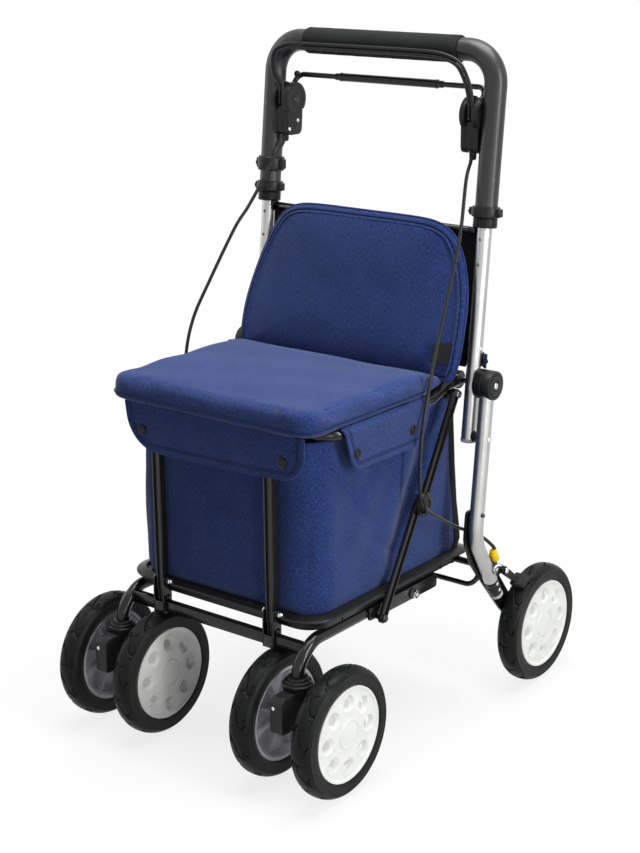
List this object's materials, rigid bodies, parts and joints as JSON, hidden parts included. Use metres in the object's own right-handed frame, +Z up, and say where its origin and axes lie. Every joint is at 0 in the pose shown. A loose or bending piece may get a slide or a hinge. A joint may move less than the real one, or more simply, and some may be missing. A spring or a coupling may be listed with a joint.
{
  "type": "shopping rollator",
  "caption": "Folding walking aid on wheels with swivelling front casters, padded seat over a shopping bag, backrest, height-adjustable U handle and bar brake.",
  "frame": {"origin": "on the floor, midway between the front and rear axles and between the two sides, in the middle of the base rectangle", "axes": "+Z up, +Y to the rear, towards the person who walks behind the handle, +X to the right of a person who sits on the seat's rear side and looks at the front"},
  "size_m": [0.4404, 0.5956, 0.8736],
  "materials": {
    "steel": "gloss black powder coat",
    "aluminium": "satin anodised",
    "handle": "satin black",
    "plastic": "satin black plastic",
    "foam": "fine-grained black foam",
    "tyre": "matte charcoal rubber with tread",
    "hub": "pale grey-white plastic, slightly translucent",
    "bolt": "bright plated steel",
    "navy_cloth": "navy melange woven polyester",
    "black_cloth": "black woven polyester",
    "cable": "black cable sheath"
  },
  "bodies": {
    "rear_frame": {"rear_steel_frame": "steel", "back_bar": "steel", "back_panel": "black_cloth", "backrest_pad": "navy_cloth", "rear_leg_left": "aluminium", "rear_leg_right": "aluminium", "fold_housing_left": "plastic", "fold_housing_right": "plastic", "leg_spacer_left": "plastic", "leg_spacer_right": "plastic", "upright_left": "aluminium", "upright_right": "aluminium", "rear_axle_left": "bolt", "rear_axle_right": "bolt", "brake_body_left": "plastic", "brake_body_right": "plastic", "brake_cable_left": "cable", "brake_cable_right": "cable"},
    "base": {"base_frame": "steel", "base_tray": "plastic", "shopping_bag": "navy_cloth"},
    "seat": {"seat_frame": "steel", "front_flap": "navy_cloth", "side_flap_left": "navy_cloth", "side_flap_right": "navy_cloth"},
    "posts": {"front_post_left": "steel", "front_post_right": "steel"},
    "upper_braces": {"brace_upper_left": "steel", "brace_upper_right": "steel"},
    "lower_braces": {"brace_lower_left": "steel", "brace_lower_right": "steel"},
    "lid": {"seat_cushion": "navy_cloth"},
    "handle": {"handle_tube": "handle", "handle_grip": "foam", "height_collar_left": "plastic", "height_collar_right": "plastic", "accessory_clamp": "plastic", "brake_housing_left": "plastic", "brake_housing_right": "plastic", "link_cable_inner": "cable", "link_cable_outer": "cable"},
    "brake_lever": {"brake_bar": "steel"},
    "brake_shoe_left": {"brake_shoe_left": "plastic"},
    "rear_wheel_left": {"rear_wheel_left_tyre": "tyre", "rear_wheel_left_hub": "hub"},
    "caster_left": {"caster_block_left": "plastic", "caster_axle_left": "bolt"},
    "caster_wheel_left_inner": {"caster_wheel_left_inner_tyre": "tyre", "caster_wheel_left_inner_hub": "hub"},
    "caster_wheel_left_outer": {"caster_wheel_left_outer_tyre": "tyre", "caster_wheel_left_outer_hub": "hub"},
    "brake_shoe_right": {"brake_shoe_right": "plastic"},
    "rear_wheel_right": {"rear_wheel_right_tyre": "tyre", "rear_wheel_right_hub": "hub"},
    "caster_right": {"caster_block_right": "plastic", "caster_axle_right": "bolt"},
    "caster_wheel_right_inner": {"caster_wheel_right_inner_tyre": "tyre", "caster_wheel_right_inner_hub": "hub"},
    "caster_wheel_right_outer": {"caster_wheel_right_outer_tyre": "tyre", "caster_wheel_right_outer_hub": "hub"}
  },
  "joints": [
    {"name": "base_fold", "type": "hinge", "parent": "rear_frame", "child": "base", "pos_m": [0, 0.0915, 0.1992], "axis": [-1, 0, 0], "range_deg": [0, 60], "deforming": ["shopping_bag", "backrest_pad"]},
    {"name": "seat_fold", "type": "hinge", "parent": "rear_frame", "child": "seat", "pos_m": [0, 0.088, 0.446], "axis": [-1, 0, 0], "range_deg": [0, 60.5]},
    {"name": "posts_fold", "type": "hinge", "parent": "base", "child": "posts", "pos_m": [0, -0.217, 0.1867], "axis": [-1, 0, 0], "range_deg": [-60.5, 0]},
    {"name": "upper_brace_fold", "type": "hinge", "parent": "seat", "child": "upper_braces", "pos_m": [0, 0.058, 0.436], "axis": [-1, 0, 0], "range_deg": [0, 6.6]},
    {"name": "lower_brace_fold", "type": "hinge", "parent": "base", "child": "lower_braces", "pos_m": [0, -0.088, 0.1775], "axis": [-1, 0, 0], "range_deg": [-115, 0]},
    {"name": "lid_open", "type": "hinge", "parent": "seat", "child": "lid", "pos_m": [0, 0.0077, 0.4423], "axis": [-1, 0, 0], "range_deg": [0, 35]},
    {"name": "handle_height", "type": "slide", "parent": "rear_frame", "child": "handle", "axis": [0, 0.0946, 0.9955], "range_m": [0, 0.095], "deforming": ["brake_cable_left", "brake_cable_right"]},
    {"name": "brake_pull", "type": "hinge", "parent": "handle", "child": "brake_lever", "pos_m": [0, 0.11964, 0.779], "axis": [1, 0, 0], "range_deg": [0, 35]},
    {"name": "shoe_left_press", "type": "hinge", "parent": "rear_frame", "child": "brake_shoe_left", "pos_m": [-0.2, 0.135, 0.181], "axis": [-1, 0, 0], "range_deg": [0, 5]},
    {"name": "rear_wheel_left_spin", "type": "hinge", "parent": "rear_frame", "child": "rear_wheel_left", "pos_m": [-0.205, 0.216, 0.08179], "axis": [1, 0, 0], "continuous": true},
    {"name": "caster_left_swivel", "type": "hinge", "parent": "base", "child": "caster_left", "pos_m": [-0.143, -0.2364, 0.13], "axis": [0, 0, 1], "continuous": true},
    {"name": "caster_wheel_left_inner_spin", "type": "hinge", "parent": "caster_left", "child": "caster_wheel_left_inner", "pos_m": [-0.096, -0.216, 0.08179], "axis": [1, 0, 0], "continuous": true},
    {"name": "caster_wheel_left_outer_spin", "type": "hinge", "parent": "caster_left", "child": "caster_wheel_left_outer", "pos_m": [-0.19, -0.216, 0.08179], "axis": [1, 0, 0], "continuous": true},
    {"name": "shoe_right_press", "type": "hinge", "parent": "rear_frame", "child": "brake_shoe_right", "pos_m": [0.2, 0.135, 0.181], "axis": [-1, 0, 0], "range_deg": [0, 5]},
    {"name": "rear_wheel_right_spin", "type": "hinge", "parent": "rear_frame", "child": "rear_wheel_right", "pos_m": [0.205, 0.216, 0.08179], "axis": [1, 0, 0], "continuous": true},
    {"name": "caster_right_swivel", "type": "hinge", "parent": "base", "child": "caster_right", "pos_m": [0.143, -0.2364, 0.13], "axis": [0, 0, 1], "continuous": true},
    {"name": "caster_wheel_right_inner_spin", "type": "hinge", "parent": "caster_right", "child": "caster_wheel_right_inner", "pos_m": [0.096, -0.216, 0.08179], "axis": [1, 0, 0], "continuous": true},
    {"name": "caster_wheel_right_outer_spin", "type": "hinge", "parent": "caster_right", "child": "caster_wheel_right_outer", "pos_m": [0.19, -0.216, 0.08179], "axis": [1, 0, 0], "continuous": true}
  ],
  "couplings": [
    {"joint": "seat_fold", "follows": "base_fold", "ratio": 1},
    {"joint": "posts_fold", "follows": "base_fold", "ratio": -1},
    {"joint": "upper_brace_fold", "follows": "base_fold", "ratio": 0.1072},
    {"joint": "lower_brace_fold", "follows": "base_fold", "ratio": -1.9077},
    {"joint": "shoe_left_press", "follows": "brake_pull", "ratio": 0.14},
    {"joint": "shoe_right_press", "follows": "brake_pull", "ratio": 0.14}
  ]
}
